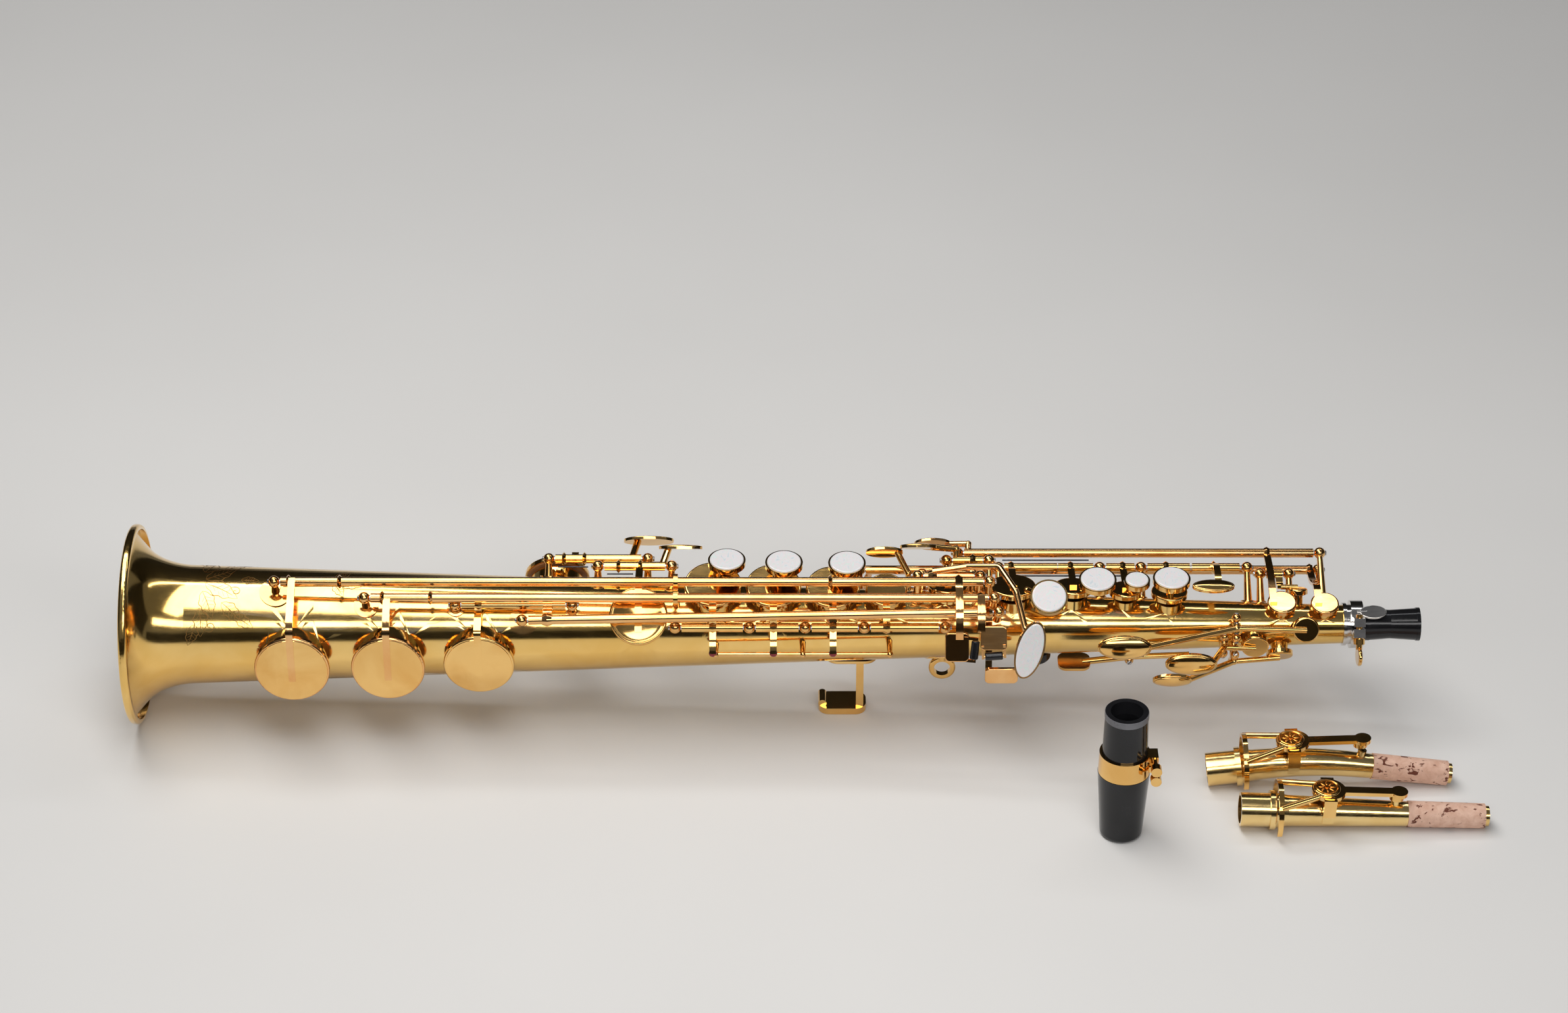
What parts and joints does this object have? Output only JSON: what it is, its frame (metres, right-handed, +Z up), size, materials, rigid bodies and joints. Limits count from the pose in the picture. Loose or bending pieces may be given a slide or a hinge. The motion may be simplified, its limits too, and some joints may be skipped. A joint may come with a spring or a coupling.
{
  "type": "soprano saxophone",
  "caption": "Straight soprano saxophone in lacquered brass with full working keywork, an end plug, two detachable necks and a capped mouthpiece laid beside it.",
  "frame": {"origin": "centre of the base that the saxophone, its necks and its mouthpiece rest on", "axes": "+X along the bore from the bell to the neck socket, +Z up, on the side that the pearl touches face, -Y the left-hand side with the palm keys"},
  "size_m": [0.613, 0.1546, 0.092],
  "materials": {
    "lacquered_brass": "clear gold lacquer, mirror polished",
    "spring_steel": "blued and polished steel",
    "mother_of_pearl": "polished mother-of-pearl",
    "pad_leather": "smooth tan leather",
    "black_resin": "polished black resin",
    "nickel_silver": "bright nickel silver",
    "cork": "sanded cork with dark flecks"
  },
  "bodies": {
    "root": {"body_tube": "lacquered_brass", "bell_flare": "lacquered_brass", "bell_rim": "lacquered_brass", "neck_receiver": "nickel_silver", "key_posts": "lacquered_brass", "hinge_rods": "spring_steel", "needle_springs": "spring_steel", "thumb_hook": "lacquered_brass", "thumb_rest": "black_resin", "strap_ring": "lacquered_brass"},
    "receiver_screw": {"receiver_screw": "lacquered_brass"},
    "end_plug": {"end_plug": "black_resin"},
    "low_bb": {"low_bb_key": "lacquered_brass", "low_bb_pad": "pad_leather"},
    "low_b": {"low_b_key": "lacquered_brass", "low_b_pad": "pad_leather"},
    "low_csharp": {"low_csharp_key": "lacquered_brass", "low_csharp_pad": "pad_leather"},
    "csharp_lever": {"csharp_lever": "lacquered_brass"},
    "bb_roller": {"bb_table_roller": "black_resin"},
    "b_roller": {"b_table_roller": "black_resin"},
    "low_c": {"low_c_key": "lacquered_brass", "low_c_pad": "pad_leather"},
    "eb": {"eb_key": "lacquered_brass"},
    "f_sharp": {"f_sharp_key": "lacquered_brass"},
    "g_sharp": {"g_sharp_key": "lacquered_brass"},
    "g_sharp_lever": {"g_sharp_lever": "lacquered_brass", "g_sharp_pearl": "mother_of_pearl"},
    "front_f": {"front_f_key": "lacquered_brass"},
    "side_bb": {"side_bb_key": "lacquered_brass"},
    "side_c": {"side_c_key": "lacquered_brass"},
    "side_e": {"side_e_key": "lacquered_brass"},
    "high_fs": {"high_fs_key": "lacquered_brass"},
    "palm_d": {"palm_d_key": "lacquered_brass"},
    "palm_eb": {"palm_eb_key": "lacquered_brass"},
    "palm_f": {"palm_f_key": "lacquered_brass"},
    "octave": {"octave_key": "lacquered_brass"},
    "octave_lever": {"octave_lever": "lacquered_brass"},
    "mouthpiece": {"mouthpiece": "black_resin", "ligature": "lacquered_brass"},
    "straight_neck": {"straight_neck": "lacquered_brass", "straight_neck_cork": "cork"},
    "straight_neck_octave": {"straight_neck_octave_key": "lacquered_brass"},
    "curved_neck": {"curved_neck": "lacquered_brass", "curved_neck_cork": "cork"},
    "curved_neck_octave": {"curved_neck_octave_key": "lacquered_brass"},
    "d": {"d_key": "lacquered_brass", "d_pearl": "mother_of_pearl"},
    "e": {"e_key": "lacquered_brass", "e_pearl": "mother_of_pearl"},
    "f": {"f_key": "lacquered_brass", "f_pearl": "mother_of_pearl"},
    "g": {"g_key": "lacquered_brass", "g_pearl": "mother_of_pearl"},
    "a": {"a_key": "lacquered_brass", "a_pearl": "mother_of_pearl"},
    "bis": {"bis_key": "lacquered_brass", "bis_pearl": "mother_of_pearl"},
    "b": {"b_key": "lacquered_brass", "b_pearl": "mother_of_pearl"}
  },
  "joints": [
    {"name": "low_bb_key_pivot", "type": "hinge", "parent": "root", "child": "low_bb", "pos_m": [-0.0764, 0.019, 0.0778], "axis": [1, 0, 0], "range_deg": [0, 4.27], "stiffness_Nm_per_rad": 0.08, "springref_deg": -13.2},
    {"name": "low_b_key_pivot", "type": "hinge", "parent": "root", "child": "low_b", "pos_m": [-0.05485, 0.0114, 0.0741], "axis": [1, 0, 0], "range_deg": [0, 4.85], "stiffness_Nm_per_rad": 0.08, "springref_deg": -15},
    {"name": "low_c_key_pivot", "type": "hinge", "parent": "root", "child": "low_c", "pos_m": [-0.0929, 0.04977, 0.06964], "axis": [1, 0, 0], "range_deg": [-7.27, 0], "stiffness_Nm_per_rad": 0.08, "springref_deg": 22.5},
    {"name": "low_csharp_key_pivot", "type": "hinge", "parent": "root", "child": "low_csharp", "pos_m": [-0.13005, 0.01475, 0.06796], "axis": [1, 0, 0], "range_deg": [-5.4, 0], "stiffness_Nm_per_rad": 0.03, "springref_deg": 16.2},
    {"name": "csharp_lever_pivot", "type": "hinge", "parent": "root", "child": "csharp_lever", "pos_m": [-0.01825, 0.00645, 0.0675], "axis": [0.9998, 0.0051, 0.0176], "range_deg": [0, 4.5], "stiffness_Nm_per_rad": 0.08, "springref_deg": -15},
    {"name": "eb_key_pivot", "type": "hinge", "parent": "root", "child": "eb", "pos_m": [-0.0758, 0.03983, 0.07225], "axis": [1, 0, 0], "range_deg": [-4, 0], "stiffness_Nm_per_rad": 0.08, "springref_deg": 12},
    {"name": "d_key_pivot", "type": "hinge", "parent": "root", "child": "d", "pos_m": [0.00425, 0.00987, 0.05888], "axis": [1, 0, 0], "range_deg": [-5.82, 0], "stiffness_Nm_per_rad": 0.08, "springref_deg": 18},
    {"name": "e_key_pivot", "type": "hinge", "parent": "root", "child": "e", "pos_m": [0.00425, 0.00987, 0.05888], "axis": [1, 0, 0], "range_deg": [-5.82, 0], "stiffness_Nm_per_rad": 0.08, "springref_deg": 18},
    {"name": "f_key_pivot", "type": "hinge", "parent": "root", "child": "f", "pos_m": [0.00425, 0.00987, 0.05888], "axis": [1, 0, 0], "range_deg": [-5.82, 0], "stiffness_Nm_per_rad": 0.08, "springref_deg": 18},
    {"name": "f_sharp_key_pivot", "type": "hinge", "parent": "root", "child": "f_sharp", "pos_m": [0.00425, 0.00987, 0.05888], "axis": [1, 0, 0], "range_deg": [-5.82, 0], "stiffness_Nm_per_rad": 0.03, "springref_deg": 18},
    {"name": "g_sharp_lever_pivot", "type": "hinge", "parent": "root", "child": "g_sharp_lever", "pos_m": [0.06745, 0.0283, 0.07454], "axis": [1, 0, 0], "range_deg": [0, 4.5], "stiffness_Nm_per_rad": 0.08, "springref_deg": -15},
    {"name": "g_sharp_key_pivot", "type": "hinge", "parent": "root", "child": "g_sharp", "pos_m": [0.06745, 0.04608, 0.06362], "axis": [1, 0, 0], "range_deg": [-6, 0], "stiffness_Nm_per_rad": 0.03, "springref_deg": 12},
    {"name": "g_key_pivot", "type": "hinge", "parent": "root", "child": "g", "pos_m": [0.14855, 0.05198, 0.06335], "axis": [1, 0, 0], "range_deg": [0, 4.85], "stiffness_Nm_per_rad": 0.08, "springref_deg": -15},
    {"name": "a_key_pivot", "type": "hinge", "parent": "root", "child": "a", "pos_m": [0.14855, 0.05198, 0.06335], "axis": [1, 0, 0], "range_deg": [0, 4.85], "stiffness_Nm_per_rad": 0.08, "springref_deg": -15},
    {"name": "bis_key_pivot", "type": "hinge", "parent": "root", "child": "bis", "pos_m": [0.14855, 0.05198, 0.06335], "axis": [1, 0, 0], "range_deg": [0, 4.85], "stiffness_Nm_per_rad": 0.08, "springref_deg": -15},
    {"name": "b_key_pivot", "type": "hinge", "parent": "root", "child": "b", "pos_m": [0.14855, 0.05198, 0.06335], "axis": [1, 0, 0], "range_deg": [0, 4.85], "stiffness_Nm_per_rad": 0.08, "springref_deg": -15},
    {"name": "front_f_key_pivot", "type": "hinge", "parent": "root", "child": "front_f", "pos_m": [0.14855, 0.05198, 0.06335], "axis": [1, 0, 0], "range_deg": [0, 4], "stiffness_Nm_per_rad": 0.05, "springref_deg": -12},
    {"name": "side_bb_key_pivot", "type": "hinge", "parent": "root", "child": "side_bb", "pos_m": [0.07715, 0.05459, 0.06554], "axis": [1, 0, 0], "range_deg": [0, 7], "stiffness_Nm_per_rad": 0.08, "springref_deg": -21},
    {"name": "side_c_key_pivot", "type": "hinge", "parent": "root", "child": "side_c", "pos_m": [0.08195, 0.05928, 0.04502], "axis": [1, 0, 0], "range_deg": [0, 7], "stiffness_Nm_per_rad": 0.08, "springref_deg": -21},
    {"name": "side_high_e_key_pivot", "type": "hinge", "parent": "root", "child": "side_e", "pos_m": [0.15665, 0.06282, 0.0642], "axis": [1, 0, 0], "range_deg": [-4, 0], "stiffness_Nm_per_rad": 0.08, "springref_deg": 12},
    {"name": "high_fs_key_pivot", "type": "hinge", "parent": "root", "child": "high_fs", "pos_m": [0.13395, 0.06318, 0.05454], "axis": [1, 0, 0], "range_deg": [-4, 0], "stiffness_Nm_per_rad": 0.08, "springref_deg": 12},
    {"name": "palm_d_key_pivot", "type": "hinge", "parent": "root", "child": "palm_d", "pos_m": [0.19845, 0.01734, 0.05342], "axis": [0, 0.4695, 0.8829], "range_deg": [-4.5, 0], "stiffness_Nm_per_rad": 0.08, "springref_deg": 13.5},
    {"name": "palm_eb_key_pivot", "type": "hinge", "parent": "root", "child": "palm_eb", "pos_m": [0.19295, 0.01531, 0.04544], "axis": [0, -0.0349, 0.9994], "range_deg": [-8, 0], "stiffness_Nm_per_rad": 0.08, "springref_deg": 24},
    {"name": "palm_f_key_pivot", "type": "hinge", "parent": "root", "child": "palm_f", "pos_m": [0.19845, 0.01919, 0.03584], "axis": [0, -0.6428, 0.766], "range_deg": [-6.5, 0], "stiffness_Nm_per_rad": 0.08, "springref_deg": 19.5},
    {"name": "octave_lever_pivot", "type": "hinge", "parent": "root", "child": "octave_lever", "pos_m": [0.15145, 0.03252, 0.02859], "axis": [0, -0.9976, -0.0698], "range_deg": [-5, 0], "stiffness_Nm_per_rad": 0.08, "springref_deg": 15},
    {"name": "octave_key_pivot", "type": "hinge", "parent": "root", "child": "octave", "pos_m": [0.2183, 0.04968, 0.06143], "axis": [1, 0, 0], "range_deg": [-6, 0], "stiffness_Nm_per_rad": 0.02, "springref_deg": 15},
    {"name": "bb_roller_spin", "type": "hinge", "parent": "low_bb", "child": "bb_roller", "pos_m": [0.07835, -0.0056, 0.05727], "axis": [0.1045, 0.3303, 0.9381], "continuous": true},
    {"name": "b_roller_spin", "type": "hinge", "parent": "low_b", "child": "b_roller", "pos_m": [0.08705, -0.00631, 0.05443], "axis": [0.9976, 0.0192, 0.0671], "continuous": true},
    {"name": "receiver_screw_turn", "type": "hinge", "parent": "root", "child": "receiver_screw", "pos_m": [0.25465, 0.01876, 0.05267], "axis": [0, 0.4695, 0.8829], "continuous": true},
    {"name": "end_plug_pull", "type": "slide", "parent": "root", "child": "end_plug", "axis": [1, 0, 0], "range_m": [0, 0.03]},
    {"name": "mouthpiece_lift", "type": "slide", "parent": "root", "child": "mouthpiece", "axis": [0, 0, 1], "range_m": [0, 0.15]},
    {"name": "straight_neck_lift", "type": "slide", "parent": "root", "child": "straight_neck", "axis": [0, 0, 1], "range_m": [0, 0.15]},
    {"name": "curved_neck_lift", "type": "slide", "parent": "root", "child": "curved_neck", "axis": [0, 0, 1], "range_m": [0, 0.15]},
    {"name": "straight_neck_octave_pivot", "type": "hinge", "parent": "straight_neck", "child": "straight_neck_octave", "pos_m": [0.23423, -0.0607, 0.01404], "axis": [0, 1, 0], "range_deg": [-2.5, 0], "stiffness_Nm_per_rad": 0.05, "springref_deg": 12},
    {"name": "curved_neck_octave_pivot", "type": "hinge", "parent": "curved_neck", "child": "curved_neck_octave", "pos_m": [0.22159, -0.0287, 0.01766], "axis": [0, 1, 0], "range_deg": [-2.5, 0], "stiffness_Nm_per_rad": 0.05, "springref_deg": 12}
  ],
  "couplings": [
    {"joint": "low_csharp_key_pivot", "follows": "csharp_lever_pivot", "ratio": -1.2},
    {"joint": "g_sharp_key_pivot", "follows": "g_sharp_lever_pivot", "ratio": -1.3},
    {"joint": "f_sharp_key_pivot", "follows": "f_key_pivot", "ratio": 1},
    {"joint": "octave_key_pivot", "follows": "octave_lever_pivot", "ratio": 1.1}
  ]
}
